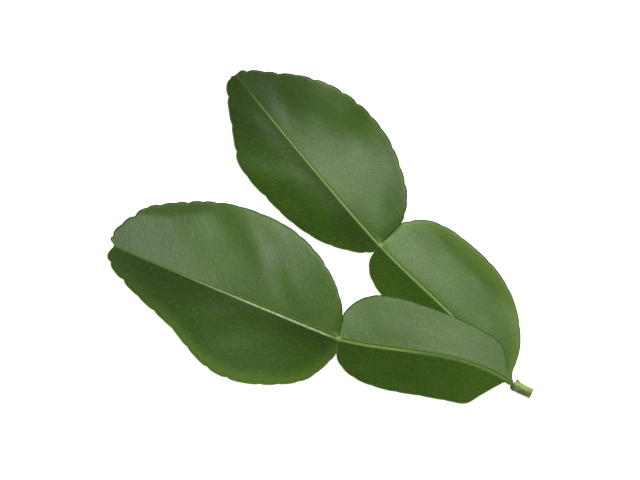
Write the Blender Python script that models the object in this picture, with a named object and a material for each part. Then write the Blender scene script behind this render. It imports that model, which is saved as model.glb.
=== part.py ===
"""A sprig of kaffir lime, picked and laid on a table, glossy side up.

Two leaves grow from the stub of a green twig. Each is one hourglass piece: a winged stalk, a narrow
joint and a blade of nearly the same size. The front leaf lies across the wing of the back one.
"""

import math

import bmesh
import bpy
import numpy as np
from mathutils import Matrix, Vector

MM = 0.001

# Sizes are in millimetres and headings in degrees, turned left from +X.
BLADE_THICKNESS = 0.7
RIB_DEPTH = 0.6
RIB_CHANNEL = 0.12
JOINT_SWELLING = 0.35
JOINT_LENGTH = 1.5
TABLE_BLEND = 0.25

# Where the rows of faces lie between the rib's edge and the margin, and how many columns each lobe has.
ROWS_TO_MARGIN = (0.0, 0.24, 0.5, 0.74, 0.9, 1.0)
WING_COLUMNS = 40
BLADE_COLUMNS = 62

# The twig's rings from its clean cut to its end, as ((x, y), radius); it lies on the table.
TWIG_RINGS = (((60.3, -43.6), 1.45), ((58.7, -42.85), 1.45), ((57.0, -42.0), 1.55),
              ((55.9, -41.4), 1.4), ((55.45, -41.15), 1.0), ((55.3, -41.05), 0.5))
TWIG_SIDES = 16
# Swellings fused to the twig, as (centre, half sizes, heading): a cushion below each leaf, and one bud.
TWIG_SWELLINGS = (((56.25, -41.5, 3.2), (1.05, 1.0, 1.2), 146.0),
                  ((55.5, -42.0, 1.45), (0.95, 0.95, 1.0), 123.0),
                  ((56.6, -40.55, 1.7), (1.15, 0.6, 0.6), 110.0))
SWELLING_SEGMENTS = 12

# An outline is (distance along the lobe, half-width there), from the twig outward. Left is the side to
# the left of someone walking from the twig to the tip. A notch is (distance from the tip along the
# margin, depth). A fall is (share of the length, drop below the rib at HALF_WIDTH), which a flare bends
# on its way out, and a swell is (distance along, distance out, breadth, reach, height).
LEAF_FRONT = {
    "base": (55.0, -40.65),
    "rib_heights": ((0, 3.5), (6, 4.3), (12, 5.1), (22, 6.1), (35, 6.6), (50, 6.5), (62, 6.7), (78, 6.9),
                    (92, 6.3), (106, 4.8), (114, 3.8), (119, 3.1)),
    "rib_halves": ((0, 0.8), (50, 0.78), (75, 0.62), (100, 0.42), (119, 0.22)),
    "wing": {
        "length": 50.35,
        "heading": 165.6,
        "bow": -2.7,
        "left": {
            "outline": ((0, 0.8), (2.2, 1.0), (3.9, 2.8), (8.0, 7.6), (11.4, 11.2), (16.4, 12.0),
                        (24, 12.2), (34, 11.9), (42.5, 10.2), (46.9, 8.0), (49.3, 5.6), (50.0, 3.2),
                        (50.0, 0.78)),
            "notches": (),
            "falls": ((0, 1.5), (0.5, 5.0), (1, 7.0)),
            "flares": ((0, 0.5), (1, 0.5)),
            "swells": (),
        },
        "right": {
            "outline": ((0, 0.8), (2.2, 1.2), (3.0, 3.8), (4.6, 7.0), (7.2, 8.8), (12, 9.8), (19.8, 11.3),
                        (30.6, 13.4), (38, 14.4), (44.1, 13.9), (47.6, 11.8), (49.4, 9.5), (50.1, 6.9),
                        (50.1, 0.78)),
            "notches": (),
            "falls": ((0, 2.0), (0.25, 3.5), (0.75, 4.0), (1, 5.0)),
            "flares": ((0, 0.5), (0.35, 0.5), (0.7, 0), (1, -0.5)),
            "swells": ((18, 3, 6, 5, 0.15), (29, 3, 6, 5, 0.2), (39, 5, 4, 4, 0.15), (46, 9, 5, 5, -0.2)),
        },
    },
    "blade": {
        "length": 68.05,
        "heading": 157.6,
        "bow": 0.0,
        "left": {
            "outline": ((0.1, 0.78), (-0.2, 2.4), (-0.5, 4.2), (0.2, 7.6), (4.1, 14.2), (12, 18.9),
                        (22, 21.9), (30, 21.7), (37, 19.0), (44, 15.2), (54.4, 11.3), (62, 8.1), (67, 5.2),
                        (68.6, 3.0), (68.3, 1.2), (67.9, 0.3)),
            "notches": ((5.1, 0.6), (11.4, 0.55), (23.6, 0.35), (37.3, 0.3), (45.3, 0.35), (51.6, 0.35),
                        (61.1, 0.25), (72.0, 0.25)),
            "falls": ((0, 5.0), (0.2, 2.0), (0.4, 0.5), (0.8, 2.0), (1, 0.5)),
            "flares": ((0, 1.0), (0.6, 1.0), (1, 0)),
            "swells": ((27, 9, 6, 7, -0.6), (37, 10, 5, 5, 0.3), (14, 17, 6, 8, 0.4),
                       (36, 16, 5, 5, 0.25)),
        },
        "right": {
            "outline": ((0.3, 0.78), (0.5, 2.4), (0.95, 5.2), (2.3, 8.6), (5.9, 13.3), (13, 19.1),
                        (22, 23.0), (31, 24.2), (41, 23.6), (50, 21.1), (57.9, 17.3), (63.5, 13.8),
                        (66.7, 9.7), (69.1, 5.1), (69.8, 1.8), (67.9, 0.3)),
            "notches": ((3.3, 0.8), (7.6, 0.3), (11.9, 0.75), (16.1, 0.25), (20.2, 0.4), (27.9, 0.55),
                        (36.1, 0.28), (72.7, 0.3)),
            "falls": ((0, 0.5), (0.5, 4.5), (0.8, 6.0), (1, 6.5)),
            "flares": ((0, 0), (0.35, -0.7), (0.7, 0.5), (1, 0)),
            "swells": ((17, 8, 4, 5, 0.25), (22, 9, 5, 6, -0.4), (28, 12, 5, 6, 0.4),
                       (33, 13, 3.5, 5, -0.2), (31, 19, 3.5, 4, -0.2), (42, 17, 6, 7, -0.6)),
        },
    },
}

LEAF_BACK = {
    "base": (54.5, -40.65),
    "rib_heights": ((0, 1.1), (8, 1.4), (16, 1.7), (26, 2.2), (38, 3.0), (53, 4.3), (66, 5.4), (80, 5.8),
                    (94, 4.9), (106, 2.9), (115.7, 1.0)),
    "rib_halves": ((0, 0.8), (53, 0.74), (75, 0.58), (98, 0.4), (115.7, 0.2)),
    "wing": {
        "length": 53.2,
        "heading": 133.5,
        "bow": -1.5,
        "left": {
            "outline": ((0, 0.75), (2.2, 1.6), (5.2, 4.2), (9.2, 6.8), (15.2, 9.2), (23.2, 10.6),
                        (31.2, 10.8), (37.2, 10.4), (42.9, 9.7), (48, 8.4), (50.9, 6.6), (52.4, 4.6),
                        (52.95, 2.6), (52.9, 0.74)),
            "notches": (),
            "falls": ((0, 0.5), (0.5, 3.5), (1, 6.5)),
            "flares": ((0, 0.5), (1, 0.5)),
            "swells": (),
        },
        "right": {
            "outline": ((0, 0.75), (1.9, 2.2), (3.1, 4.5), (4.8, 7.2), (6.8, 9.3), (11.6, 12.8),
                        (19, 16.2), (27.2, 17.9), (35, 18.0), (42.8, 17.2), (48, 15.3), (51.2, 12.6),
                        (52.6, 10.4), (53.1, 8.2), (53.05, 4.0), (52.85, 0.74)),
            "notches": ((10.5, 0.3),),
            "falls": ((0, 1.5), (0.5, 4.0), (1, 4.5)),
            "flares": ((0, -0.5), (0.4, -0.5), (1, 1.0)),
            "swells": ((19, 7, 5, 6, -0.35), (28, 7, 5, 7, -0.3), (36, 7, 6, 7, -0.25),
                       (47, 7, 6, 4.5, -0.2)),
        },
    },
    "blade": {
        "length": 62.25,
        "heading": 130.4,
        "bow": 0.3,
        "left": {
            "outline": ((0.1, 0.74), (0.05, 2.4), (1.4, 4.9), (4.4, 7.5), (10, 11.0), (15.2, 13.0),
                        (22, 14.6), (30, 15.4), (37.3, 15.8), (43.5, 15.1), (49.5, 11.7), (56, 7.9),
                        (60.3, 5.1), (62.4, 3.2), (63.2, 1.2), (62.6, 0.3)),
            "notches": ((1.6, 0.5), (7.2, 0.55), (15.2, 0.35), (22.7, 0.5), (38.0, 0.35), (71.3, 0.3)),
            "falls": ((0, 5.5), (0.3, 4.0), (0.6, 2.0), (1, 3.0)),
            "flares": ((0, 0), (0.35, -0.5), (0.7, -0.5), (1, 0.5)),
            "swells": ((8, 7, 5, 5, -0.35), (20, 5, 7, 5, 0.4), (30, 7, 6, 7, 0.65), (41, 5, 6, 5, 0.4),
                       (48, 3, 5, 4, 0.5), (40, 14, 5, 5, 0.6)),
        },
        "right": {
            "outline": ((0.15, 0.74), (0.45, 3.0), (0.8, 8.2), (2.0, 11.1), (6.2, 15.5), (12, 18.6),
                        (20, 21.4), (28, 22.1), (36, 21.2), (43.5, 18.6), (50.5, 14.1), (56, 9.0),
                        (60.2, 5.0), (62.4, 2.5), (62.6, 0.3)),
            "notches": ((3.6, 0.6), (8.5, 0.25), (12.6, 0.45), (22.5, 0.4), (31.6, 0.45), (36.7, 0.55),
                        (42.1, 0.25), (52.8, 0.35), (58.5, 0.25), (63.6, 0.3), (72.3, 0.3)),
            "falls": ((0, 0.5), (0.2, 3.0), (0.4, 4.0), (0.6, 2.0), (0.8, 0), (1, -0.5)),
            "flares": ((0, -0.5), (0.35, 0.5), (0.7, 0.5), (1, 0)),
            "swells": ((10, 9, 5.5, 8, -0.5), (18, 20, 7, 6, -0.65), (27, 15, 7, 4.5, -0.5),
                       (35, 11, 6, 4.5, -0.6), (47, 4, 6, 5, -0.4), (43, 14, 8, 5.5, 0.6)),
        },
    },
}

# How far out a fall is measured, how far the swells lean towards the tip, and the notches' half breadth.
HALF_WIDTH = 20.0
SWELL_LEAN = 0.65
NOTCH_REACH = 2.0

LEAF_GREEN = (0.075, 0.155, 0.035, 1.0)
TWIG_GREEN = (0.16, 0.26, 0.06, 1.0)


def smooth(stations, x):
    """A smooth curve through (place, value) stations, without overshoot."""
    at, value = np.array(stations, float).T
    slope = np.diff(value) / np.diff(at)
    tangent = np.concatenate([slope[:1], (slope[1:] + slope[:-1]) / 2, slope[-1:]])
    turns = slope[1:] * slope[:-1] <= 0
    tangent[1:-1][turns] = 0
    i = np.clip(np.searchsorted(at, x, side="right") - 1, 0, len(slope) - 1)
    step = at[i + 1] - at[i]
    t = np.clip((x - at[i]) / step, 0, 1)
    rise = value[i + 1] - value[i]
    ease = t * t * (3 - 2 * t)
    bend = t * (1 - t) * ((1 - t) * tangent[i] - t * tangent[i + 1]) * step
    return value[i] + rise * ease + bend


def curve_through(points, count):
    """Evenly spaced points along a round curve through the outline's points."""
    points = np.array(points, float)
    ends = np.concatenate([2 * points[:1] - points[1:2], points, 2 * points[-1:] - points[-2:-1]])
    t = np.linspace(0, 1, 24, endpoint=False)[:, None]
    fine = []
    for a, b, c, d in zip(ends[:-3], ends[1:-2], ends[2:-1], ends[3:]):
        before, across, after = (math.sqrt(np.linalg.norm(q - p)) for p, q in ((a, b), (b, c), (c, d)))
        start = (c - b) + across * ((b - a) / before - (c - a) / (before + across))
        end = (c - b) + across * ((d - c) / after - (d - b) / (across + after))
        third, fourth = 3 * (c - b) - 2 * start - end, 2 * (b - c) + start + end
        fine.append(b + t * start + t**2 * third + t**3 * fourth)
    fine = np.concatenate([*fine, points[-1:]])
    run = np.concatenate([[0], np.cumsum(np.linalg.norm(np.diff(fine, axis=0), axis=1))])
    even = np.linspace(0, run[-1], count)
    return np.stack([np.interp(even, run, fine[:, k]) for k in (0, 1)], axis=1), even


def margin(half, columns):
    """The margin of one half of a lobe, with its notches cut in."""
    points, run = curve_through(half["outline"], columns + 1)
    along = np.gradient(points, axis=0)
    along /= np.linalg.norm(along, axis=1)[:, None]
    outward = np.stack([-along[:, 1], along[:, 0]], axis=1)
    to_tip = run[-1] - run
    inward = 0 * run
    for at, depth in half["notches"]:
        inward += depth * np.clip(1 - np.abs(to_tip - at) / NOTCH_REACH, 0, 1) ** 2
    inward *= np.clip(run / 4, 0, 1) * np.clip(to_tip / 1.2, 0, 1)
    return points - outward * inward[:, None]


def rest_on_table(z):
    """Heights above the table: what would sink into it lies flat on it, with a soft bend between."""
    bent = (z + TABLE_BLEND) ** 2 / (4 * TABLE_BLEND)
    return np.where(z > TABLE_BLEND, z, np.where(z < -TABLE_BLEND, 0, bent))


def fall(lobe, half, u, v):
    """How far the blade lies below its rib, at u along the lobe and v out from the rib."""
    across = v / HALF_WIDTH
    flare = smooth(half["flares"], np.clip(u / lobe["length"], 0, 1))
    drop = smooth(half["falls"], u / lobe["length"]) * across * (1 + flare * (1 - across))
    for at, out, breadth, reach, height in half["swells"]:
        off = ((u - at - SWELL_LEAN * (v - out)) / breadth) ** 2 + ((v - out) / reach) ** 2
        drop -= height * np.exp(-off) * (1 - np.exp(-((v / 4) ** 2)))
    return drop


def leaf_sections(leaf):
    """The leaf's rows of points: place in plan, underside height and thickness there."""
    places, lows, rises = [], [], []
    start = np.array(leaf["base"])
    done = 0.0
    for name, columns in (("wing", WING_COLUMNS), ("blade", BLADE_COLUMNS)):
        lobe = leaf[name]
        heading = math.radians(lobe["heading"])
        ahead = np.array([math.cos(heading), math.sin(heading)])
        aside = np.array([-ahead[1], ahead[0]])
        sides = []
        for side, sign in (("left", 1), ("right", -1)):
            half = lobe[side]
            edge = margin(half, columns)
            rib_u = np.linspace(edge[0, 0], edge[-1, 0], columns + 1)
            rib_half = smooth(leaf["rib_halves"], done + rib_u)
            width = np.linalg.norm(edge - np.stack([rib_u, 0 * rib_u], axis=1), axis=1)
            rib_share = np.minimum(rib_half / width, 0.45)
            shares = [0 * rib_share] + [rib_share + (1 - rib_share) * row for row in ROWS_TO_MARGIN]
            rows = []
            for share in shares:
                u = rib_u + (edge[:, 0] - rib_u) * share
                v = edge[:, 1] * share
                f = np.clip(u / lobe["length"], 0, 1)
                bow = lobe["bow"] * 6.75 * f * (1 - f) ** 2
                height = smooth(leaf["rib_heights"], done + u) - fall(lobe, half, u, v)
                keel = np.clip(1 - v / rib_half, 0, 1)
                to_joint = (done + u - leaf["wing"]["length"]) / JOINT_LENGTH
                swelling = JOINT_SWELLING * np.exp(-(to_joint**2) - (v / 1.2) ** 2)
                low = rest_on_table(height - RIB_DEPTH * keel * rib_half / 0.8 - swelling)
                top = rest_on_table(height) + BLADE_THICKNESS - RIB_CHANNEL * keel + swelling
                plan = start + np.outer(u, ahead) + np.outer(sign * v + bow, aside)
                rows.append(np.column_stack([plan, low, top - low]))
            sides.append(rows)
        left, right = sides
        middle = (left[0] + right[0]) / 2
        section = np.stack(right[:0:-1] + [middle] + left[1:], axis=1)
        places.append(section[:, :, :2])
        lows.append(section[:, :, 2])
        rises.append(section[:, :, 3])
        start = start + ahead * lobe["length"]
        done += lobe["length"]
    return np.concatenate(places), np.concatenate(lows), np.concatenate(rises)


def finish(obj, name, colour, roughness):
    material = bpy.data.materials.new(name + "_surface")
    material.use_nodes = True
    shader = material.node_tree.nodes["Principled BSDF"]
    shader.inputs["Base Color"].default_value = colour
    shader.inputs["Roughness"].default_value = roughness
    shader.inputs["Metallic"].default_value = 0.0
    obj.data.materials.append(material)


def make_leaf(name, leaf):
    """One leaf: its underside as a sheet of triangles, extruded up to its glossy side."""
    places, lows, rises = leaf_sections(leaf)
    columns, rows = lows.shape
    mesh = bmesh.new()
    rise = mesh.verts.layers.float.new("rise")
    grid = []
    for i in range(columns):
        line = []
        for j in range(rows):
            vertex = mesh.verts.new((places[i, j, 0] * MM, places[i, j, 1] * MM, lows[i, j] * MM))
            vertex[rise] = rises[i, j] * MM
            line.append(vertex)
        grid.append(line)
    middle = rows // 2
    for i in range(columns - 1):
        for j in range(rows - 1):
            a, b, c, d = grid[i][j], grid[i][j + 1], grid[i + 1][j + 1], grid[i + 1][j]
            if j < middle:
                mesh.faces.new((a, b, c))
                mesh.faces.new((a, c, d))
            else:
                mesh.faces.new((a, b, d))
                mesh.faces.new((b, c, d))
    made = bmesh.ops.extrude_face_region(mesh, geom=mesh.faces[:], use_keep_orig=True)
    for vertex in made["geom"]:
        if isinstance(vertex, bmesh.types.BMVert):
            vertex.co.z += vertex[rise]
    bmesh.ops.recalc_face_normals(mesh, faces=mesh.faces[:])
    data = bpy.data.meshes.new(name)
    mesh.to_mesh(data)
    mesh.free()
    data.shade_smooth()
    data.set_sharp_from_angle(angle=math.radians(40))
    leaf_object = bpy.data.objects.new(name, data)
    bpy.context.scene.collection.objects.link(leaf_object)
    finish(leaf_object, name, LEAF_GREEN, 0.42)
    return leaf_object


def add_ring(mesh, centre, ahead, radius):
    """A ring of points that lies on the table, square to the twig's way."""
    middle = Vector((centre[0], centre[1], radius)) * MM
    turn = Vector((ahead[0], ahead[1], 0)).to_track_quat("Z", "Y").to_matrix().to_4x4()
    made = bmesh.ops.create_circle(mesh, segments=TWIG_SIDES, radius=radius * MM,
                                   matrix=Matrix.Translation(middle) @ turn)
    return [edge for edge in mesh.edges if edge.verts[0] in made["verts"] and edge.verts[1] in made["verts"]]


def make_twig():
    """The twig's stub: rings bridged into a tapered rod, with leaf cushions and a bud fused to it."""
    mesh = bmesh.new()
    centres = [centre for centre, radius in TWIG_RINGS]
    ways = [np.subtract(b, a) for a, b in zip(centres[:-1], centres[1:])]
    ways.append(ways[-1])
    rings = [add_ring(mesh, centre, way, radius) for (centre, radius), way in zip(TWIG_RINGS, ways)]
    for first, second in zip(rings[:-1], rings[1:]):
        bmesh.ops.bridge_loops(mesh, edges=first + second)
    for ring in (rings[0], rings[-1]):
        bmesh.ops.contextual_create(mesh, geom=ring)
    bmesh.ops.recalc_face_normals(mesh, faces=mesh.faces[:])
    data = bpy.data.meshes.new("twig")
    mesh.to_mesh(data)
    mesh.free()
    twig = bpy.data.objects.new("twig", data)
    bpy.context.scene.collection.objects.link(twig)
    swellings = []
    for number, (centre, halves, heading) in enumerate(TWIG_SWELLINGS, start=1):
        ball = bmesh.new()
        size = Matrix.Diagonal((*halves, 1))
        bmesh.ops.create_uvsphere(ball, u_segments=SWELLING_SEGMENTS, v_segments=SWELLING_SEGMENTS // 2 + 2,
                                  radius=MM, matrix=size)
        swelling_data = bpy.data.meshes.new("swelling_%d" % number)
        ball.to_mesh(swelling_data)
        ball.free()
        swelling = bpy.data.objects.new("swelling_%d" % number, swelling_data)
        swelling.location = Vector(centre) * MM
        swelling.rotation_euler = (0, 0, math.radians(heading))
        swelling.hide_render = True
        swelling.display_type = "WIRE"
        bpy.context.scene.collection.objects.link(swelling)
        join = twig.modifiers.new("join_swelling_%d" % number, "BOOLEAN")
        join.operation = "UNION"
        join.solver = "EXACT"
        join.object = swelling
        swellings.append(swelling)
    data.shade_smooth()
    data.set_sharp_from_angle(angle=math.radians(50))
    finish(twig, "twig", TWIG_GREEN, 0.5)
    return twig, swellings


def main():
    for old in list(bpy.data.objects):
        bpy.data.objects.remove(old)
    twig, swellings = make_twig()
    pieces = [make_leaf("leaf_front", LEAF_FRONT), make_leaf("leaf_back", LEAF_BACK), twig]
    corners = np.array([vertex.co for piece in pieces for vertex in piece.data.vertices])
    low, high = corners.min(axis=0), corners.max(axis=0)
    sprig = bpy.data.objects.new("sprig", None)
    bpy.context.scene.collection.objects.link(sprig)
    sprig.location = (-(low[0] + high[0]) / 2, -(low[1] + high[1]) / 2, -low[2])
    for piece in pieces + swellings:
        piece.parent = sprig


main()
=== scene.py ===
"""A sprig of kaffir lime on a pale table: the stub of a green twig with two glossy double leaves."""

import math

import bpy
import numpy as np
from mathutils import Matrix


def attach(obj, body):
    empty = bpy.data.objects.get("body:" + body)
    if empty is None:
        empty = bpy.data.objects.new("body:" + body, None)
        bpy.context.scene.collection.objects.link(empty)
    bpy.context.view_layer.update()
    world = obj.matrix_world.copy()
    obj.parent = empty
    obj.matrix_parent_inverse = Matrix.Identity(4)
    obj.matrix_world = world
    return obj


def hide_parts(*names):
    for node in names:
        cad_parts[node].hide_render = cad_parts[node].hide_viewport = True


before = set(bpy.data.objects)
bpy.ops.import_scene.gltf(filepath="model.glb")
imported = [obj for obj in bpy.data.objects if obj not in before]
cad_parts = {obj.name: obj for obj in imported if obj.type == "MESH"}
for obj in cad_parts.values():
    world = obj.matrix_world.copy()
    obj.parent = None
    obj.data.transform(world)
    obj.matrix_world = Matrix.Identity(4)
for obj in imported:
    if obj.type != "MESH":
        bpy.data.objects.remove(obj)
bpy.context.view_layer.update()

# Twig: the stub of a young green shoot that both leaves grow from, cut through with a knife. It grew as
# one piece, smooth green bark round pale wood and pith, with a cushion below each leaf and one bud.

# Lengths are in millimetres. The sprig's plan is moved by plan_shift to centre it on the frame's origin.
MM = 0.001
plan_shift = (-1.29, -0.35)
# The twig's rings run from its cut to its end as ((x, y), radius).
twig_rings = (((60.3, -43.6), 1.45), ((59.5, -43.2), 1.43), ((58.7, -42.85), 1.46), ((57.9, -42.45), 1.52),
              ((57.0, -42.0), 1.55), ((56.4, -41.7), 1.5), ((55.9, -41.4), 1.38), ((55.55, -41.22), 1.05),
              ((55.35, -41.1), 0.6))
twig_sides = 48
twig_heading = math.radians(153.0)
# Each swelling is (centre, half sizes, heading).
twig_swellings = (((56.0, -41.3, 3.3), (1.3, 1.05, 1.25), 146.0),
                  ((55.3, -41.75, 1.5), (1.2, 1.05, 1.1), 123.0),
                  ((56.6, -40.55, 1.7), (1.15, 0.6, 0.6), 110.0))
swelling_segments = 32
swelling_rings = 20
twig_voxel = 0.09
twig_easing = 0.5
twig_easing_rounds = 6
# A face is part of the cut where it lies within cut_layer of it and looks back past cut_facing.
cut_layer = 0.15
cut_facing = -0.7

bark_green = (0.105, 0.19, 0.032, 1.0)
bark_pale = (0.22, 0.31, 0.075, 1.0)
wood_cream = (0.52, 0.47, 0.26, 1.0)
wood_green = (0.24, 0.30, 0.09, 1.0)
pith_white = (0.66, 0.62, 0.45, 1.0)
bark_stretch = (0.18, 1, 1)
bark_patch_rim = (0.35, 0.7)
pore_cells = 1300
pore_rim = (0.16, 0.08)
pore_strength = 0.55
bark_line_height = 0.08
pore_height = 0.02
bark_roughness = (0.42, 0.6)
pith_rim = (0.45 * MM, 0.6 * MM)
wood_rim = (1.05 * MM, 1.2 * MM)
cut_roughness = (0.6, 0.8)
cut_grain_height = 0.05
# Nearly all values of a noise lie in this range.
noise_range = (0.2, 0.8)


def on_table(x, y, z):
    """A place on the sprig's plan, in millimetres, as a place in the frame."""
    return ((x + plan_shift[0]) * MM, (y + plan_shift[1]) * MM, z * MM)


def node(material, kind, values, **settings):
    """One node of a material. A socket takes a value or another node's output."""
    made = material.node_tree.nodes.new(kind)
    for name, value in settings.items():
        setattr(made, name, value)
    for socket, value in values.items():
        if isinstance(value, bpy.types.NodeSocket):
            material.node_tree.links.new(value, made.inputs[socket])
        else:
            made.inputs[socket].default_value = value
    return made.outputs


def calculate(material, operation, first, second=0.0):
    """One calculation with one or two values."""
    return node(material, "ShaderNodeMath", {0: first, 1: second}, operation=operation)[0]


def product(material, first, *others):
    """All of the values multiplied."""
    for other in others:
        first = calculate(material, "MULTIPLY", first, other)
    return first


def ramp(material, value, start, end, low=0.0, high=1.0):
    """Eases from low to high while value goes from start to end."""
    return node(material, "ShaderNodeMapRange", {"Value": value, "From Min": start, "From Max": end,
                                                 "To Min": low, "To Max": high},
                interpolation_type="SMOOTHSTEP")["Result"]


def lay_over(material, below, above, *masks):
    """One colour over another, as far as the masks say, multiplied."""
    return node(material, "ShaderNodeMix", {0: product(material, *masks), 6: below, 7: above},
                data_type="RGBA")[2]


def own_place(material):
    """The place on the object, in metres."""
    return node(material, "ShaderNodeTexCoord", {})["Object"]


def noise(material, place, scale, detail, roughness=0.5, distortion=0.0):
    """Cloudy noise, with about as many lumps in one unit of place as scale says."""
    return node(material, "ShaderNodeTexNoise", {"Vector": place, "Scale": scale, "Detail": detail,
                                                 "Roughness": roughness, "Distortion": distortion})["Fac"]


def cells(material, place, scale, feature):
    """The distance to the nearest cell's middle (F1) or rim (DISTANCE_TO_EDGE)."""
    return node(material, "ShaderNodeTexVoronoi", {"Vector": place, "Scale": scale},
                feature=feature)["Distance"]


def plain_shader(name):
    """A new material with its shader, to which the finish is wired."""
    material = bpy.data.materials.new(name)
    material.use_nodes = True
    return material, material.node_tree.nodes["Principled BSDF"]


def wire(material, shader, socket, value):
    """Wires a value to one of the shader's sockets."""
    material.node_tree.links.new(value, shader.inputs[socket])


def wire_relief(material, shader, reliefs):
    """Bumps from (relief, height in millimetres) pairs, added up."""
    (relief, height), *others = reliefs
    bumps = product(material, relief, height)
    for relief, height in others:
        bumps = calculate(material, "ADD", bumps, product(material, relief, height))
    wire(material, shader, "Normal", node(material, "ShaderNodeBump", {"Height": bumps, "Distance": MM})[0])


# The bark: green with paler patches, fine lines along the twig and pale pores.
bark, bark_shader = plain_shader("twig_bark")
place = own_place(bark)
bark_way = node(bark, "ShaderNodeMapping", {"Vector": place, "Rotation": (0, 0, -twig_heading),
                                            "Scale": bark_stretch})[0]
bark_lines = noise(bark, bark_way, scale=2600, detail=3)
bark_patches = noise(bark, place, scale=700, detail=2)
pores = ramp(bark, cells(bark, place, pore_cells, "F1"), *pore_rim)
bark_colour = lay_over(bark, bark_green, bark_pale, ramp(bark, bark_patches, *bark_patch_rim))
bark_colour = lay_over(bark, bark_colour, pith_white, pores, pore_strength)
wire(bark, bark_shader, "Base Color", bark_colour)
wire(bark, bark_shader, "Roughness", ramp(bark, bark_lines, *noise_range, *bark_roughness))
wire_relief(bark, bark_shader, ((bark_lines, bark_line_height), (pores, pore_height)))

# The cut: white pith in the middle, then cream wood, then green under the bark.
cut, cut_shader = plain_shader("twig_cut")
place = own_place(cut)
(cut_x, cut_y), cut_radius = twig_rings[0]
heart = on_table(cut_x, cut_y, cut_radius)
from_heart = node(cut, "ShaderNodeVectorMath", {0: place, 1: heart}, operation="DISTANCE")["Value"]
cut_grain = noise(cut, place, scale=5000, detail=2)
cut_colour = lay_over(cut, pith_white, wood_cream, ramp(cut, from_heart, *pith_rim))
cut_colour = lay_over(cut, cut_colour, wood_green, ramp(cut, from_heart, *wood_rim))
wire(cut, cut_shader, "Base Color", cut_colour)
wire(cut, cut_shader, "Roughness", ramp(cut, cut_grain, *noise_range, *cut_roughness))
wire_relief(cut, cut_shader, ((cut_grain, cut_grain_height),))

bpy.ops.object.select_all(action="DESELECT")
bpy.ops.mesh.primitive_circle_add(vertices=twig_sides, radius=cut_radius * MM, fill_type="NGON",
                                  location=heart, rotation=(0, math.pi / 2, twig_heading))
twig = bpy.context.object
twig.name = "green_twig"
bpy.ops.object.transform_apply(location=True, rotation=True, scale=True)
bpy.ops.object.mode_set(mode="EDIT")
bpy.ops.mesh.select_all(action="SELECT")
for ((x, y), radius), ((next_x, next_y), next_radius) in zip(twig_rings[:-1], twig_rings[1:]):
    step = ((next_x - x) * MM, (next_y - y) * MM, (next_radius - radius) * MM)
    bpy.ops.mesh.extrude_region_move(TRANSFORM_OT_translate={"value": step})
    bpy.ops.transform.resize(value=(next_radius / radius,) * 3,
                             center_override=on_table(next_x, next_y, next_radius))
bpy.ops.object.mode_set(mode="OBJECT")
for centre, halves, heading in twig_swellings:
    bpy.ops.mesh.primitive_uv_sphere_add(segments=swelling_segments, ring_count=swelling_rings, radius=MM,
                                         location=on_table(*centre), rotation=(0, 0, math.radians(heading)),
                                         scale=halves)
    bpy.ops.object.transform_apply(location=True, rotation=True, scale=True)
    bpy.context.object.select_set(True)
    twig.select_set(True)
    bpy.context.view_layer.objects.active = twig
    bpy.ops.object.join()
fuse = twig.modifiers.new("fuse", "REMESH")
fuse.mode = "VOXEL"
fuse.voxel_size = twig_voxel * MM
ease = twig.modifiers.new("ease", "SMOOTH")
ease.factor = twig_easing
ease.iterations = twig_easing_rounds
for modifier in ("fuse", "ease"):
    bpy.ops.object.modifier_apply(modifier=modifier)
twig.data.materials.append(bark)
twig.data.materials.append(cut)
twig_way = np.array((math.cos(twig_heading), math.sin(twig_heading), 0))
for face in twig.data.polygons:
    past_cut = (np.array(face.center) - heart) @ twig_way
    is_cut = past_cut < cut_layer * MM and np.array(face.normal) @ twig_way < cut_facing
    face.material_index = 1 if is_cut else 0
bpy.ops.object.shade_smooth()
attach(twig, "root")
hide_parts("twig")


# Back leaf: a tough, waxy leaf in two lobes, a winged stalk and a blade of nearly the same size, that
# meet at a narrow joint. It grew in one piece, with a sunken pale midrib, arching side veins, oil glands
# and a shallowly scalloped margin. Its front neighbour lies across the winged stalk.

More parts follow.
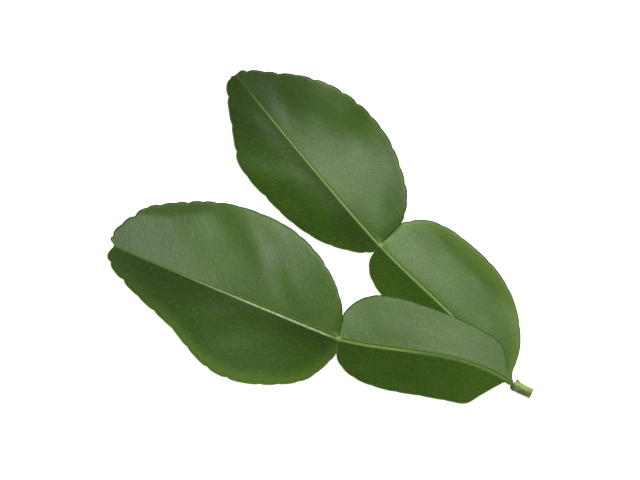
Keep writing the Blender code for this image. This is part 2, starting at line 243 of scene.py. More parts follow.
# Distances run from the twig towards the tip, and left is the left of someone who walks that way. The rib's
# heights, half-widths, rib_pale and rib_shine are (distance along the whole leaf, value), and the last two
# say how much of the rib is pale and how much of it bears painted highlights, white beads. A bow is how far
# the rib of a lobe bends to the left.
# An outline is (distance along the lobe, half-width). A notch is (distance from the tip along the margin,
# depth). A fall is (share of the lobe's length, drop below the rib at half_width), which a flare bends up
# or down on its way out. A swell is (place along the lobe, place out from the rib, breadth, reach, height).
# For each half, the lit green share says how much painted light, a lighter green, lies mostly on its margin,
# gloss how shiny it is along the lobe, rim_gloss how many times as shiny its margin is, and dull_tip how dark
# a green it is near the tip.
back_leaf = {
    "base": (54.5, -40.65),
    "rib_heights": ((0, 1.1), (8, 1.4), (16, 1.7), (26, 2.2), (38, 3.0), (53, 4.3), (66, 5.4), (80, 5.8),
                    (94, 4.9), (106, 2.9), (115.7, 1.0)),
    "rib_halves": ((0, 0.8), (53, 0.74), (75, 0.58), (98, 0.4), (115.7, 0.2)),
    "rib_pale": ((0, 0.9), (60, 0.9), (80, 0.7), (104, 0.5), (111, 0)),
    "rib_shine": ((0, 0), (56, 0.15), (80, 0)),
    "wing": {
        "length": 53.2,
        "heading": 133.5,
        "bow": -1.5,
        "left": {
            "outline": ((0, 0.75), (2.2, 1.6), (5.2, 4.2), (9.2, 6.8), (15.2, 9.2), (23.2, 10.6),
                        (31.2, 10.8), (37.2, 10.4), (42.9, 9.7), (48, 8.4), (50.9, 6.6), (52.4, 4.6),
                        (52.95, 2.6), (52.9, 0.74)),
            "notches": ((6.8, 0.12), (10.7, 0.15), (15.0, 0.12)),
            "falls": ((0, 0.5), (0.5, 3.5), (1, 6.5)),
            "flares": ((0, 0.5), (1, 0.5)),
            "lit_green": 0.0,
            "gloss": ((0, 1.1), (1, 1.1)),
            "rim_gloss": 1.0,
            "dull_tip": 0.0,
            "swells": (),
        },
        "right": {
            "outline": ((0, 0.75), (1.9, 2.2), (3.1, 4.5), (4.8, 7.2), (6.8, 9.3), (11.6, 12.8),
                        (19, 16.2), (27.2, 17.9), (35, 18.0), (42.8, 17.2), (48, 15.3), (51.2, 12.6),
                        (52.7, 10.6), (53.6, 8.6), (53.75, 5.5), (53.6, 3.0), (53.25, 0.74)),
            "notches": ((10.5, 0.3), (19.7, 0.18), (25.9, 0.18), (36.4, 0.22), (45.4, 0.15), (56.3, 0.2)),
            "falls": ((0, 1.5), (0.5, 4.0), (1, 4.5)),
            "flares": ((0, -0.5), (0.4, -0.5), (1, 1.0)),
            "lit_green": 1.0,
            "gloss": ((0, 0.9), (1, 1.1)),
            "rim_gloss": 1.2,
            "dull_tip": 0.0,
            "swells": ((19, 7, 5, 6, -0.35), (28, 7, 5, 7, -0.3), (36, 7, 6, 7, -0.25),
                       (47, 7, 6, 4.5, -0.2)),
        },
    },
    "blade": {
        "length": 62.25,
        "heading": 130.4,
        "bow": 0.3,
        "left": {
            "outline": ((-0.31, 0.74), (-0.37, 2.4), (1.3, 4.9), (4.4, 7.5), (10, 11.0), (15.2, 13.0),
                        (22, 14.6), (30, 15.4), (37.3, 15.8), (43.5, 15.1), (49.5, 11.7), (56, 7.9),
                        (60.3, 5.1), (62.4, 3.2), (63.2, 1.2), (62.6, 0.3)),
            "notches": ((1.6, 0.5), (7.2, 0.55), (15.2, 0.35), (22.7, 0.5), (30.4, 0.2), (38.0, 0.35),
                        (43.5, 0.15), (49.0, 0.15), (54.3, 0.15), (61.1, 0.18), (66.0, 0.12), (71.3, 0.3)),
            "falls": ((0, 5.5), (0.3, 4.0), (0.6, 2.0), (1, 3.0)),
            "flares": ((0, 0), (0.35, -0.5), (0.7, -0.5), (1, 0.5)),
            "lit_green": 0.0,
            "gloss": ((0, 1.0), (0.5, 1.0), (0.8, 1.5), (1, 1.7)),
            "rim_gloss": 1.5,
            "dull_tip": 1.0,
            "swells": ((8, 7, 5, 5, -0.35), (20, 5, 7, 5, 0.4), (30, 7, 6, 7, 0.65), (41, 5, 6, 5, 0.4),
                       (48, 3, 5, 4, 0.5), (40, 14, 5, 5, 0.6)),
        },
        "right": {
            "outline": ((0.15, 0.74), (0.45, 3.0), (0.8, 8.2), (2.0, 11.1), (6.2, 15.5), (12, 18.6),
                        (20, 21.4), (28, 22.1), (36, 21.2), (43.5, 18.6), (50.5, 14.1), (56, 9.0),
                        (60.2, 5.0), (62.4, 2.5), (62.6, 0.3)),
            "notches": ((3.6, 0.6), (8.5, 0.25), (12.6, 0.45), (17.5, 0.2), (22.5, 0.4), (26.9, 0.22),
                        (31.6, 0.45), (36.7, 0.55), (42.1, 0.25), (46.7, 0.2), (52.8, 0.35), (58.5, 0.25),
                        (63.6, 0.3), (68.5, 0.15), (72.3, 0.3)),
            "falls": ((0, 0.5), (0.2, 3.0), (0.4, 4.0), (0.6, 2.0), (0.8, 0), (1, -0.5)),
            "flares": ((0, -0.5), (0.35, 0.5), (0.7, 0.5), (1, 0)),
            "lit_green": 0.0,
            "gloss": ((0, 1.0), (0.6, 1.0), (0.85, 1.5), (1, 1.8)),
            "rim_gloss": 1.3,
            "dull_tip": 1.0,
            "swells": ((10, 9, 5.5, 8, -0.5), (18, 20, 7, 6, -0.65), (27, 15, 7, 4.5, -0.5),
                       (35, 11, 6, 4.5, -0.6), (47, 4, 6, 5, -0.4), (43, 14, 8, 5.5, 0.6)),
        },
    },
}
half_width = 20.0
# A rib's bow is widest a third of the way along, where f * (1 - f)**2 is 4 / 27.
bow_peak = 27 / 4
swell_lean = 0.65
swell_start = 4.0
notch_reach = 2.0
notch_start = 4.0
notch_end = 1.2
blade_thickness = 0.38
edge_share = 0.55
edge_taper = 0.6
rib_depth = 0.6
full_rib = 0.8
most_rib_share = 0.45
channel_depth = 0.1
channel_share = 0.6
joint_swelling = 0.32
joint_length = 1.5
joint_breadth = 1.2
table_blend = 0.25
lobe_columns = {"wing": 190, "blade": 300}
rib_rows = (0.0, 0.2, 0.4, 0.6, 0.8, 1.0)
margin_rows = 32
outline_steps = 40
vein_pitch = {"wing": 5.2, "blade": 6.4}
vein_lean = 0.42
vein_arch = 0.014
left_vein_shift = 0.4
wander_size = 0.6
wander_length = 6.1
waver_size = 0.35
waver_reach = 2.7
waver_length = 9.0
quilt_height = 0.012
quilt_ease = 3.0
rim_gloss_reach = 2.5
crease_angle = math.radians(40)
# What the mesh tells the finish at each point: distances in millimetres, shares and the side veins' count.
told_labels = ("along", "across", "to_margin", "rib_half", "vein", "past_joint", "lit_green", "gloss", "rib_pale",
               "rib_shine", "dull_tip")

upper_deep = (0.042, 0.094, 0.0055, 1.0)
upper_fresh = (0.058, 0.126, 0.0075, 1.0)
upper_vein = (0.075, 0.145, 0.018, 1.0)
upper_dark_tone_and_shade = (0.032, 0.064, 0.010, 1.0)
upper_lit = (0.105, 0.195, 0.022, 1.0)
rib_green = (0.24, 0.37, 0.085, 1.0)
rib_highlight_white = (0.50, 0.58, 0.40, 1.0)
rib_olive = (0.12, 0.19, 0.035, 1.0)
groove_shade_green = (0.040, 0.085, 0.005, 1.0)
knob_green = (0.33, 0.45, 0.10, 1.0)
rim_painted_shade = (0.012, 0.024, 0.006, 1.0)
rim_painted_light = (0.19, 0.28, 0.07, 1.0)
under_green = (0.115, 0.19, 0.055, 1.0)
under_vein = (0.2, 0.29, 0.09, 1.0)

# The number of cells in a metre, and where in a cell or in the noise a mark begins and is full.
net_cells = 850
gland_cells = 1500
net_rim = (0.09, 0.0)
under_net_rim = (0.12, 0.0)
gland_rim = (0.3, 0.12)
patch_rim = (0.3, 0.7)
highlight_bead_rim = (0.42, 0.6)
dark_speckle_rim = (0.52, 0.36)
light_speckle_rim = (0.52, 0.68)
# Speckles and streaks follow the side veins: their noise reads the vein's number, and this share of the
# distance in millimetres across the leaf.
speckle_stretch = 0.05
streak_stretch = 0.03
# Half of a side vein's breadth, as a share of the way to the next one.
side_vein_half = 0.07
under_vein_half = 0.06
# How strongly each mark shows in the colour.
net_strength = 0.25
gland_strength = 0.4
side_vein_strength = 0.08
shade_beside_rib_strength = 0.65
fold_shade_strength = 0.6
dark_speckle_strength = 0.55
light_speckle_strength = 0.45
groove_shade_strength = 0.8
rib_edge_strength = 0.65
knob_strength = 0.65
rim_strength = 0.85
under_net_strength = 0.3
# How much of a mark shows on one part of the leaf, or on the right and on the left, or between two painted
# highlight beads and on one.
inner_lit_green_share = 0.35
tip_rim_share = 0.4
speckle_shares = (0.8, 1.1)
lit_green_speckle_share = 0.5
highlight_bead_shares = (0.25, 1.0)
# Where each mark begins and is full, in millimetres from the rib, the joint, the twig or the margin.
# Across the rib, distances to its left are positive and distances to its right negative.
clear_of_rib = (0.0, 1.2)
clear_of_margin = (0.8, 4.0)
left_of_rib = (0.0, 0.5)
well_left = (0.0, 2.0)
right_of_rib = (-1.0, -2.0)
well_right = (-1.0, -2.5)
across_rib = (2.0, -2.0)
speckle_sides = (-1.0, 1.0)
lit_green_reach = (5.0, 0.3)
tip_reach = (86.0, 106.0)
tip_breadth = (16.0, 6.0)
shade_beside_rib_reach = (9.0, 1.5)
shade_beside_rib_start = (-2.0, 4.0)
fold_start = (-0.2, 0.4)
fold_end = (4.5, 2.0)
knob_length = (0.85, 0.4)
knob_breadth = (0.8, 0.5)
knob_side_length = (1.6, 0.8)
knob_side_breadth = (2.0, 1.2)
painted_light_rim_reach = (0.45, 0.1)
painted_shade_rim_reach = (0.42, 0.12)
bevel_reach = (1.1, 0.3)
# Where the rib's stripes rise and drop, in half-widths of the rib to the left of its middle. Below, the
# rib's colour ends within under_rib_reach on both sides.
rib_edge_stripe = ((-1.35, -1.0), (-0.6, -0.85))
groove_stripe = ((-0.75, -0.5), (-0.1, -0.3))
rib_stripe = ((-0.3, -0.05), (0.8, 0.5))
under_rib_reach = (1.2, 0.8)
# How much gloss is left in the fold, on the far bevel, and in the groove and round the joint's swelling.
fold_gloss = 0.15
bevel_gloss = 0.35
spot_gloss = 0.3
# The roughness goes with this power of the gloss.
gloss_power = -0.35
upper_roughness = (0.41, 0.49)
upper_specular = 0.36
# Heights of the upper side's relief, in millimetres.
side_vein_height = -0.004
net_height = -0.006
gland_height = 0.005
grain_height = 0.009
leather_height = 0.05
streak_height = 0.032
# The underside's relief and finish, and the rim's finish.
under_roughness = 0.62
under_vein_height = 0.06
under_net_height = 0.015
rim_roughness = 0.75
rim_specular = 0.15


def smooth(stations, x):
    """A smooth curve through (place, value) stations, without overshoot."""
    at, value = np.array(stations, float).T
    slope = np.diff(value) / np.diff(at)
    tangent = np.concatenate([slope[:1], (slope[1:] + slope[:-1]) / 2, slope[-1:]])
    turns = slope[1:] * slope[:-1] <= 0
    tangent[1:-1][turns] = 0
    i = np.clip(np.searchsorted(at, x, side="right") - 1, 0, len(slope) - 1)
    step = at[i + 1] - at[i]
    t = np.clip((x - at[i]) / step, 0, 1)
    bend = t * (1 - t) * ((1 - t) * tangent[i] - t * tangent[i + 1]) * step
    return value[i] + (value[i + 1] - value[i]) * t * t * (3 - 2 * t) + bend


def curve_through(points, count):
    """Evenly spaced points along a round curve through the outline's points, and how far along each is."""
    points = np.array(points, float)
    ends = np.concatenate([2 * points[:1] - points[1:2], points, 2 * points[-1:] - points[-2:-1]])
    t = np.linspace(0, 1, outline_steps, endpoint=False)[:, None]
    fine = []
    for a, b, c, d in zip(ends[:-3], ends[1:-2], ends[2:-1], ends[3:]):
        before, across, after = (math.sqrt(np.linalg.norm(q - p)) for p, q in ((a, b), (b, c), (c, d)))
        start = (c - b) + across * ((b - a) / before - (c - a) / (before + across))
        end = (c - b) + across * ((d - c) / after - (d - b) / (across + after))
        bend = 3 * (c - b) - 2 * start - end
        twist = 2 * (b - c) + start + end
        fine.append(b + t * start + t**2 * bend + t**3 * twist)
    fine = np.concatenate([*fine, points[-1:]])
    run = np.concatenate([[0], np.cumsum(np.linalg.norm(np.diff(fine, axis=0), axis=1))])
    even = np.linspace(0, run[-1], count)
    return np.stack([np.interp(even, run, fine[:, k]) for k in (0, 1)], axis=1), even


def scalloped_margin(half, columns):
    """The margin of one half of a lobe: its outline, with round teeth between the notches."""
    points, run = curve_through(half["outline"], columns + 1)
    along = np.gradient(points, axis=0)
    along /= np.linalg.norm(along, axis=1)[:, None]
    outward = np.stack([-along[:, 1], along[:, 0]], axis=1)
    to_tip = run[-1] - run
    inward = sum(depth * np.clip(1 - np.abs(to_tip - at) / notch_reach, 0, 1) ** 2
                 for at, depth in half["notches"])
    inward = inward * np.clip(run / notch_start, 0, 1) * np.clip(to_tip / notch_end, 0, 1)
    return points - outward * inward[:, None]


def rest_on_table(z):
    """What would sink into the table lies flat on it, with a soft bend between."""
    bent = (z + table_blend) ** 2 / (4 * table_blend)
    return np.where(z > table_blend, z, np.where(z < -table_blend, 0, bent))


def fall(lobe, half, u, v):
    """How far the blade lies below its rib, at u along the lobe and v out from the rib."""
    across = v / half_width
    flare = smooth(half["flares"], np.clip(u / lobe["length"], 0, 1))
    drop = smooth(half["falls"], u / lobe["length"]) * across * (1 + flare * (1 - across))
    for at, out, breadth, reach, height in half["swells"]:
        off = ((u - at - swell_lean * (v - out)) / breadth) ** 2 + ((v - out) / reach) ** 2
        drop -= height * np.exp(-off) * (1 - np.exp(-((v / swell_start) ** 2)))
    return drop


def directions(lobe):
    """Unit steps along a lobe's heading and to its left, on the plan."""
    heading = math.radians(lobe["heading"])
    ahead = np.array([math.cos(heading), math.sin(heading)])
    return ahead, np.array([-ahead[1], ahead[0]])


def vein_count(name, sign, u, v):
    """Counts the side veins along a lobe: a whole number on each vein. They lean, arch and wander."""
    wander = wander_size * np.sin(u / wander_length + 2 * sign)
    wander += waver_size * np.sin(v / waver_reach + u / waver_length + sign)
    shift = (left_vein_shift if sign > 0 else 0) * vein_pitch[name]
    return (u - vein_lean * v - vein_arch * v**2 + wander + shift) / vein_pitch[name]


def half_sheet(leaf, name, side, start, done):
    """Half a lobe as a grid of points: plan, underside, top, and what told_labels lists there."""
    lobe = leaf[name]
    half = lobe[side]
    sign = 1 if side == "left" else -1
    ahead, aside = directions(lobe)
    edge = scalloped_margin(half, lobe_columns[name])
    rib_u = np.linspace(edge[0, 0], edge[-1, 0], lobe_columns[name] + 1)
    rib = smooth(leaf["rib_halves"], done + rib_u)[:, None]
    width = np.hypot(edge[:, 0] - rib_u, edge[:, 1])[:, None]
    rib_share = np.minimum(rib / width, most_rib_share)
    outer = np.linspace(0, 1, margin_rows + 1)[1:]
    share = np.concatenate([rib_share * np.array(rib_rows), rib_share + (1 - rib_share) * outer], axis=1)
    u = rib_u[:, None] + (edge[:, :1] - rib_u[:, None]) * share
    v = edge[:, 1:] * share
    f = np.clip(u / lobe["length"], 0, 1)
    bow = lobe["bow"] * bow_peak * f * (1 - f) ** 2
    plan = start + u[..., None] * ahead + (sign * v + bow)[..., None] * aside
    to_margin = width * (1 - share)
    past_joint = done + u - leaf["wing"]["length"]
    to_joint = past_joint / joint_length
    height = smooth(leaf["rib_heights"], done + u) - fall(lobe, half, u, v)
    swelling = joint_swelling * np.exp(-(to_joint**2) - (v / joint_breadth) ** 2)
    keel = np.sqrt(np.clip(1 - (v / rib) ** 2, 0, 1))
    low = rest_on_table(height - rib_depth * keel * rib / full_rib - swelling)
    vein = vein_count(name, sign, u, v)
    quilt = quilt_height * (1 - np.abs(np.cos(math.pi * vein))) * np.clip((v - rib) / quilt_ease, 0, 1)
    quilt *= np.clip(to_margin / quilt_ease, 0, 1)
    channel = channel_depth * (rib / full_rib) * np.exp(-((v / (channel_share * rib)) ** 2))
    channel *= 1 - np.exp(-(to_joint**2))
    thick = blade_thickness * (edge_share + (1 - edge_share) * np.clip(to_margin / edge_taper, 0, 1))
    top = rest_on_table(height) + thick - channel + swelling - quilt
    gloss = smooth(half["gloss"], u / lobe["length"])
    gloss *= 1 + (half["rim_gloss"] - 1) * np.exp(-to_margin / rim_gloss_reach)
    pale, shine = (smooth(leaf[label], done + u) for label in ("rib_pale", "rib_shine"))
    values = (low, top, done + u, sign * v, to_margin, rib, vein, past_joint, half["lit_green"], gloss, pale,
              shine, half["dull_tip"])
    return np.concatenate([plan, np.stack([value + 0 * v for value in values], axis=2)], axis=2)


def leaf_sheet(leaf):
    """The whole leaf as one grid, from the twig to the tip and from the right margin to the left."""
    lobes = []
    start = np.array(leaf["base"]) + plan_shift
    done = 0.0
    for name in ("wing", "blade"):
        left, right = (half_sheet(leaf, name, side, start, done) for side in ("left", "right"))
        middle = (left[:, :1] + right[:, :1]) / 2
        lobes.append(np.concatenate([right[:, :0:-1], middle, left[:, 1:]], axis=1))
        ahead, _ = directions(leaf[name])
        start = start + ahead * leaf[name]["length"]
        done += leaf[name]["length"]
    wing, blade = lobes
    neck = (wing[-1:] + blade[:1]) / 2
    return np.concatenate([wing[:-1], neck, blade[1:]])


def grow_leaf(name, leaf, finishes):
    """One leaf: a flat grid laid to the leaf's form, then drawn down to its underside."""
    sheet = leaf_sheet(leaf)
    columns, rows = sheet.shape[:2]
    bpy.ops.object.select_all(action="DESELECT")
    bpy.ops.mesh.primitive_grid_add(x_subdivisions=columns - 1, y_subdivisions=rows - 1, size=2)
    piece = bpy.context.object
    piece.name = name
    mesh = piece.data
    flat = np.empty(len(mesh.vertices) * 3, np.float32)
    mesh.vertices.foreach_get("co", flat)
    flat = flat.reshape(-1, 3)
    column = np.rint((flat[:, 0] + 1) / 2 * (columns - 1)).astype(int)
    row = np.rint((flat[:, 1] + 1) / 2 * (rows - 1)).astype(int)
    x, y, low, top, *told_values = sheet[column, row].T
    points = np.column_stack([x, y, top]) * MM
    mesh.vertices.foreach_set("co", points.astype(np.float32).ravel())
    for label, values in zip(("depth", *told_labels), (top - low, *told_values)):
        mesh.attributes.new(label, "FLOAT", "POINT").data.foreach_set("value", values.astype(np.float32))
    mesh.update()
    bpy.ops.object.mode_set(mode="EDIT")
    bpy.ops.mesh.select_all(action="SELECT")
    bpy.ops.mesh.extrude_region_move(TRANSFORM_OT_translate={"value": (0, 0, 0)})
    bpy.ops.object.mode_set(mode="OBJECT")
    count = len(mesh.vertices)
    drawn = np.empty(count, bool)
    mesh.vertices.foreach_get("select", drawn)
    depth = np.empty(count, np.float32)
    mesh.attributes["depth"].data.foreach_get("value", depth)
    places = np.empty(count * 3, np.float32)
    mesh.vertices.foreach_get("co", places)
    places = places.reshape(-1, 3)
    places[drawn, 2] -= depth[drawn] * MM
    mesh.vertices.foreach_set("co", places.ravel())
    corners = np.empty(len(mesh.loops), np.int32)
    mesh.loops.foreach_get("vertex_index", corners)
    below = drawn[corners].reshape(-1, 4).sum(axis=1)
    finish_index = np.where(below == 0, 0, np.where(below == 4, 1, 2))
    mesh.polygons.foreach_set("material_index", finish_index.astype(np.int32))
    for finish in finishes:
        mesh.materials.append(finish)
    bpy.ops.object.mode_set(mode="EDIT")
    bpy.ops.mesh.select_all(action="SELECT")
    bpy.ops.mesh.normals_make_consistent(inside=False)
    bpy.ops.object.mode_set(mode="OBJECT")
    bpy.ops.object.shade_smooth_by_angle(angle=crease_angle)
    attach(piece, "root")
    return piece


def told(material, label):
    """One of the values that the leaf's mesh tells its finish."""
    return node(material, "ShaderNodeAttribute", {}, attribute_name=label)["Fac"]


def vein_line(material, half_breadth):
    """1 on a side vein and 0 beside it."""
    vein = told(material, "vein")
    off_vein = calculate(material, "SUBTRACT", vein, calculate(material, "ROUND", vein))
    return ramp(material, calculate(material, "ABSOLUTE", off_vein), half_breadth, 0.0)


def stripe(material, value, rise, drop):
    """1 between a rise and a drop, each given as (where it is 0, where it is 1)."""
    return product(material, ramp(material, value, *rise), ramp(material, value, *drop))


def vein_way(material, stretch):
    """A place that follows the side veins, for streaks that run along them."""
    aside = product(material, told(material, "across"), stretch)
    return node(material, "ShaderNodeCombineXYZ", {0: told(material, "vein"), 1: aside})[0]


# The upper side: deep green wax with fresher patches, and what lies in it.
upper, upper_shader = plain_shader("leaf_upper")
place = own_place(upper)
along, across, to_margin, past_joint = (told(upper, label)
                                        for label in ("along", "across", "to_margin", "past_joint"))
out = calculate(upper, "ABSOLUTE", across)
off_joint = calculate(upper, "ABSOLUTE", past_joint)
patches = noise(upper, place, scale=75, detail=3)
grain = noise(upper, place, scale=1500, detail=4, roughness=0.6)
net_line = ramp(upper, cells(upper, place, net_cells, "DISTANCE_TO_EDGE"), *net_rim)
gland_dot = ramp(upper, cells(upper, place, gland_cells, "F1"), *gland_rim)
past_rib = calculate(upper, "SUBTRACT", out, told(upper, "rib_half"))
side_vein = product(upper, vein_line(upper, side_vein_half), ramp(upper, past_rib, *clear_of_rib),
                    ramp(upper, to_margin, *clear_of_margin))
# Painted light: a lighter, lit green over the margins, and more faintly across the right halves.
inner_lit_green = ramp(upper, across, *across_rib, 0.0, inner_lit_green_share)
painted_lit_green = product(upper, ramp(upper, to_margin, *lit_green_reach, inner_lit_green), told(upper, "lit_green"))
near_tip = product(upper, ramp(upper, along, *tip_reach), ramp(upper, out, *tip_breadth, tip_rim_share),
                   told(upper, "dull_tip"))
# Painted shade: a darker green beside the rib on the left halves, from the joint on.
shade_beside_rib = product(upper, ramp(upper, out, *shade_beside_rib_reach, 0.0, shade_beside_rib_strength),
                    ramp(upper, across, *left_of_rib), ramp(upper, past_joint, *shade_beside_rib_start))
green = lay_over(upper, upper_deep, upper_fresh, ramp(upper, patches, *patch_rim))
green = lay_over(upper, green, upper_lit, painted_lit_green)
green = lay_over(upper, green, upper_vein, net_line, net_strength)
green = lay_over(upper, green, upper_vein, gland_dot, gland_strength)
green = lay_over(upper, green, upper_vein, side_vein, side_vein_strength)
green = lay_over(upper, green, upper_dark_tone_and_shade, near_tip)
green = lay_over(upper, green, upper_dark_tone_and_shade, shade_beside_rib)

# Painted shade in the fold beside the joint on the right, and speckles drawn out along the side veins.
fold_shade = product(upper, stripe(upper, past_joint, fold_start, fold_end), ramp(upper, across, *right_of_rib))
green = lay_over(upper, green, upper_deep, fold_shade, fold_shade_strength)
speckle = noise(upper, vein_way(upper, speckle_stretch), scale=15, detail=4, roughness=0.65, distortion=0.3)
speckle_share = product(upper, ramp(upper, across, *speckle_sides, *speckle_shares),
                        ramp(upper, painted_lit_green, 0.0, 1.0, 1.0, lit_green_speckle_share))
dark_speckle = ramp(upper, speckle, *dark_speckle_rim, 0.0, dark_speckle_strength)
light_speckle = ramp(upper, speckle, *light_speckle_rim, 0.0, light_speckle_strength)
green = lay_over(upper, green, upper_dark_tone_and_shade, dark_speckle, speckle_share)
green = lay_over(upper, green, upper_vein, light_speckle, speckle_share)

# The rib, from right to left: an olive edge, a groove with painted shade and a pale line with beads of
# painted highlight. The joint is pale too.
rib_place = calculate(upper, "DIVIDE", across, told(upper, "rib_half"))
rib_edge = stripe(upper, rib_place, *rib_edge_stripe)
shaded_groove = stripe(upper, rib_place, *groove_stripe)
rib_line = stripe(upper, rib_place, *rib_stripe)
highlight_beads = ramp(upper, noise(upper, place, scale=1900, detail=1), *highlight_bead_rim, *highlight_bead_shares)
knob = product(upper, ramp(upper, off_joint, *knob_length), ramp(upper, out, *knob_breadth))
# Painted shade: a darker green in the groove.
green = lay_over(upper, green, groove_shade_green, shaded_groove, groove_shade_strength)
green = lay_over(upper, green, rib_olive, rib_edge, rib_edge_strength)
green = lay_over(upper, green, rib_green, rib_line, told(upper, "rib_pale"))
# Painted highlight: white beads on the pale line, where the rib shines.
green = lay_over(upper, green, rib_highlight_white, rib_line, highlight_beads, told(upper, "rib_shine"))
green = lay_over(upper, green, knob_green, knob, knob_strength)

# The margin: painted light, a pale line, on the left half and painted shade, a dark line, on the right.
painted_light_rim = product(upper, ramp(upper, to_margin, *painted_light_rim_reach),
                   ramp(upper, across, *well_left, 0.0, rim_strength))
painted_shade_rim = product(upper, ramp(upper, to_margin, *painted_shade_rim_reach),
                   ramp(upper, across, *well_right, 0.0, rim_strength))
green = lay_over(upper, green, rim_painted_light, painted_light_rim)
green = lay_over(upper, green, rim_painted_shade, painted_shade_rim)
wire(upper, upper_shader, "Base Color", green)

# Its shine: dull in the fold, on the far bevel, in the groove and round the joint's swelling.
upper_shader.inputs["Specular IOR Level"].default_value = upper_specular
far_bevel = product(upper, ramp(upper, to_margin, *bevel_reach), ramp(upper, across, *well_right))
knob_side = product(upper, ramp(upper, off_joint, *knob_side_length), ramp(upper, out, *knob_side_breadth))
dull_spot = calculate(upper, "MAXIMUM", knob_side, calculate(upper, "MAXIMUM", shaded_groove, rib_edge))
gloss = product(upper, told(upper, "gloss"), ramp(upper, fold_shade, 0.0, 1.0, 1.0, fold_gloss),
                ramp(upper, far_bevel, 0.0, 1.0, 1.0, bevel_gloss),
                ramp(upper, dull_spot, 0.0, 1.0, 1.0, spot_gloss))
dullness = calculate(upper, "POWER", gloss, gloss_power)
roughness = product(upper, ramp(upper, grain, *noise_range, *upper_roughness), dullness)
wire(upper, upper_shader, "Roughness", roughness)
streaks = noise(upper, vein_way(upper, streak_stretch), scale=8, detail=4, distortion=0.4)
leather = noise(upper, place, scale=500, detail=4, roughness=0.6)
wire_relief(upper, upper_shader, ((side_vein, side_vein_height), (net_line, net_height),
                                  (gland_dot, gland_height), (grain, grain_height),
                                  (leather, leather_height), (streaks, streak_height)))

# The underside: paler and matt, with raised veins.
under, under_shader = plain_shader("leaf_under")
place = own_place(under)
net_line = ramp(under, cells(under, place, net_cells, "DISTANCE_TO_EDGE"), *under_net_rim)
raised_vein = product(under, vein_line(under, under_vein_half),
                      ramp(under, told(under, "to_margin"), *clear_of_margin))
rib_place = calculate(under, "DIVIDE", told(under, "across"), told(under, "rib_half"))
on_rib = ramp(under, calculate(under, "ABSOLUTE", rib_place), *under_rib_reach)
pale = lay_over(under, under_green, under_vein, net_line, under_net_strength)
pale = lay_over(under, pale, under_vein, calculate(under, "MAXIMUM", raised_vein, on_rib))
wire(under, under_shader, "Base Color", pale)
under_shader.inputs["Roughness"].default_value = under_roughness
wire_relief(under, under_shader, ((raised_vein, under_vein_height), (net_line, under_net_height)))

# The rim between the two: painted light, pale, on the left half and painted shade, dark, on the right.
rim, rim_shader = plain_shader("leaf_rim")
rim_grain = noise(rim, own_place(rim), scale=1200, detail=2)
rim_green = lay_over(rim, upper_fresh, rim_painted_light, ramp(rim, rim_grain, *patch_rim))
rim_green = lay_over(rim, rim_green, rim_painted_shade, ramp(rim, told(rim, "across"), *well_right))
wire(rim, rim_shader, "Base Color", rim_green)
rim_shader.inputs["Roughness"].default_value = rim_roughness
rim_shader.inputs["Specular IOR Level"].default_value = rim_specular

leaf_back = grow_leaf("back_leaf", back_leaf, (upper, under, rim))
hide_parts("leaf_back")


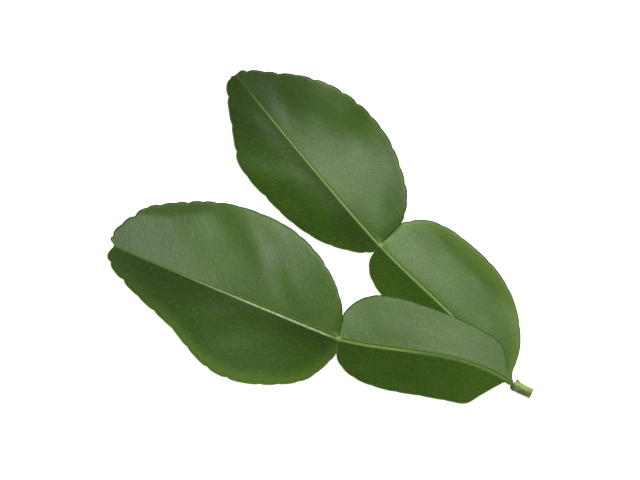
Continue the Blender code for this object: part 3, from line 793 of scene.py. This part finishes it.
# Front leaf: the same kind of leaf, grown in one piece a little higher on the twig, so its winged stalk
# crosses over the other's. Its tip points to the left, and only a stretch of its far margin near the tip
# rests on the table.
front_leaf = {
    "base": (55.0, -40.65),
    "rib_heights": ((0, 3.5), (6, 4.3), (12, 5.1), (22, 6.1), (35, 6.6), (50, 6.5), (62, 6.7), (78, 6.9),
                    (92, 6.3), (106, 4.8), (114, 3.8), (119, 3.1)),
    "rib_halves": ((0, 0.8), (50, 0.78), (75, 0.62), (100, 0.42), (119, 0.22)),
    "rib_pale": ((0, 0.35), (22, 0.35), (36, 1), (66, 1), (84, 0.6), (104, 0.3), (118, 0)),
    "rib_shine": ((0, 0), (51, 0), (56, 1), (68, 1), (100, 0)),
    "wing": {
        "length": 50.35,
        "heading": 165.6,
        "bow": -2.7,
        "left": {
            "outline": ((0, 0.8), (2.2, 1.0), (3.9, 2.8), (8.0, 7.6), (11.4, 11.2), (16.4, 12.0),
                        (24, 12.2), (34, 11.9), (42.5, 10.2), (46.9, 8.0), (49.3, 5.6), (50.0, 3.2),
                        (50.0, 0.78)),
            "notches": ((7.5, 0.12), (12.2, 0.18), (18.0, 0.12), (24.8, 0.15), (31.5, 0.12), (38.5, 0.12)),
            "falls": ((0, 1.5), (0.5, 5.0), (1, 7.0)),
            "flares": ((0, 0.5), (1, 0.5)),
            "lit_green": 0.1,
            "gloss": ((0, 1.2), (1, 1.0)),
            "rim_gloss": 1.0,
            "dull_tip": 0.0,
            "swells": (),
        },
        "right": {
            "outline": ((0, 0.8), (2.2, 1.2), (3.0, 3.8), (4.6, 7.0), (7.2, 8.8), (12, 9.8), (19.8, 11.3),
                        (30.6, 13.4), (38, 14.4), (44.1, 13.9), (47.6, 11.8), (49.5, 9.6), (50.7, 7.2),
                        (50.65, 5.2), (50.6, 2.4), (50.5, 0.78)),
            "notches": ((15.4, 0.15), (22.0, 0.12), (30.0, 0.15), (37.0, 0.12)),
            "falls": ((0, 2.0), (0.25, 3.5), (0.75, 4.0), (1, 5.0)),
            "flares": ((0, 0.5), (0.35, 0.5), (0.7, 0), (1, -0.5)),
            "lit_green": 0.3,
            "gloss": ((0, 0.95), (1, 0.95)),
            "rim_gloss": 0.9,
            "dull_tip": 0.0,
            "swells": ((18, 3, 6, 5, 0.15), (29, 3, 6, 5, 0.2), (39, 5, 4, 4, 0.15), (46, 9, 5, 5, -0.2)),
        },
    },
    "blade": {
        "length": 68.05,
        "heading": 157.6,
        "bow": 0.0,
        "left": {
            "outline": ((-0.45, 0.78), (-0.65, 1.9), (-1.1, 3.8), (0.1, 7.6), (4.1, 14.2), (12, 18.9),
                        (22, 21.9), (30, 21.7), (37, 19.0), (44, 15.2), (54.4, 11.3), (62, 8.1), (67, 5.2),
                        (68.6, 3.0), (68.3, 1.2), (67.9, 0.3)),
            "notches": ((5.1, 0.6), (11.4, 0.55), (17.4, 0.2), (23.6, 0.35), (30.5, 0.2), (37.3, 0.3),
                        (45.3, 0.35), (51.6, 0.35), (61.1, 0.25), (66.2, 0.22), (72.0, 0.25), (77.2, 0.15),
                        (82.6, 0.15)),
            "falls": ((0, 5.0), (0.2, 2.0), (0.4, 0.5), (0.8, 2.0), (1, 0.5)),
            "flares": ((0, 1.0), (0.6, 1.0), (1, 0)),
            "lit_green": 1.0,
            "gloss": ((0, 0.95), (0.5, 0.7), (1, 0.8)),
            "rim_gloss": 1.2,
            "dull_tip": 0.6,
            "swells": ((27, 9, 6, 7, -0.6), (37, 10, 5, 5, 0.3), (14, 17, 6, 8, 0.4),
                       (36, 16, 5, 5, 0.25)),
        },
        "right": {
            "outline": ((0.3, 0.78), (0.5, 2.4), (0.95, 5.2), (2.3, 8.6), (5.9, 13.3), (13, 19.1),
                        (22, 23.0), (31, 24.2), (41, 23.6), (50, 21.1), (57.9, 17.3), (63.5, 13.8),
                        (66.7, 9.7), (69.1, 5.1), (69.8, 1.8), (67.9, 0.3)),
            "notches": ((3.3, 0.8), (7.6, 0.3), (11.9, 0.75), (16.1, 0.25), (20.2, 0.4), (24.3, 0.2),
                        (27.9, 0.55), (32.0, 0.22), (36.1, 0.28), (42.5, 0.2), (48.8, 0.18), (55.0, 0.12),
                        (61.3, 0.22), (66.9, 0.22), (72.7, 0.3), (81.6, 0.2)),
            "falls": ((0, 0.5), (0.5, 4.5), (0.8, 6.0), (1, 6.5)),
            "flares": ((0, 0), (0.35, -0.7), (0.7, 0.5), (1, 0)),
            "lit_green": 0.25,
            "gloss": ((0, 1.1), (0.4, 1.1), (0.55, 0.75), (0.7, 1.05), (1, 1.15)),
            "rim_gloss": 1.3,
            "dull_tip": 0.45,
            "swells": ((17, 8, 4, 5, 0.25), (22, 9, 5, 6, -0.4), (28, 12, 5, 6, 0.4),
                       (33, 13, 3.5, 5, -0.2), (31, 19, 3.5, 4, -0.2), (42, 17, 6, 7, -0.6)),
        },
    },
}
leaf_front = grow_leaf("front_leaf", front_leaf, (upper, under, rim))
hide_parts("leaf_front")


# Table: a plain pale board that the sprig lies on, just below its lowest points. It gives most of its
# light itself, since the photo's background is pure white and shows no shadow.
table_size = 4.0
table_drop = 0.05
table_pale = (0.9, 0.9, 0.9, 1)
table_grey = (0.86, 0.86, 0.86, 1)
table_roughness = 0.85
table_glow = 0.95

table_white, table_shader = plain_shader("table_white")
table_grain = noise(table_white, own_place(table_white), scale=300, detail=2)
wire(table_white, table_shader, "Base Color", lay_over(table_white, table_grey, table_pale, table_grain))
table_shader.inputs["Roughness"].default_value = table_roughness
table_shader.inputs["Emission Color"].default_value = (1, 1, 1, 1)
table_shader.inputs["Emission Strength"].default_value = table_glow
bpy.ops.object.select_all(action="DESELECT")
bpy.ops.mesh.primitive_plane_add(size=table_size, location=(0, 0, -table_drop * MM))
table = bpy.context.object
table.name = "table"
bpy.ops.object.transform_apply(location=True)
table.data.materials.append(table_white)

# Light: one large soft panel above, beyond and to the right of the sprig, whose reflection gives the leaves
# their pale bloom, and a dim, slightly blue room.
panel_turn = math.radians(60.0)
panel_lift = math.radians(50.0)
panel_distance = 0.9
panel_width = 0.6
panel_height = 0.46
panel_watts = 10.0
room_colour = (0.95, 0.98, 1.0, 1.0)
room_strength = 0.1

light = bpy.data.lights.new("panel", "AREA")
light.shape = "RECTANGLE"
light.size = panel_width
light.size_y = panel_height
light.energy = panel_watts
panel = bpy.data.objects.new("panel", light)
bpy.context.scene.collection.objects.link(panel)
panel.location = (panel_distance * math.cos(panel_lift) * math.cos(panel_turn),
                  panel_distance * math.cos(panel_lift) * math.sin(panel_turn),
                  panel_distance * math.sin(panel_lift))
panel.rotation_euler = (math.pi / 2 - panel_lift, 0, panel_turn + math.pi / 2)
panel.visible_camera = False
room = bpy.data.worlds.new("room")
room.use_nodes = True
room.node_tree.nodes["Background"].inputs["Color"].default_value = room_colour
room.node_tree.nodes["Background"].inputs["Strength"].default_value = room_strength
bpy.context.scene.world = room
bpy.context.scene.view_settings.view_transform = "Standard"

# Camera: straight above the sprig, with a very long lens and the twig at the lower right.
view_width = 179.2
view_centre = (1.12, -0.56)
lens = 300.0
sensor = 36.0
near_limit = 0.01

camera_data = bpy.data.cameras.new("camera")
camera_data.lens = lens
camera_data.sensor_width = sensor
camera_data.clip_start = near_limit
camera = bpy.data.objects.new("camera", camera_data)
bpy.context.scene.collection.objects.link(camera)
camera.location = on_table(*view_centre, view_width * lens / sensor)
bpy.context.scene.camera = camera
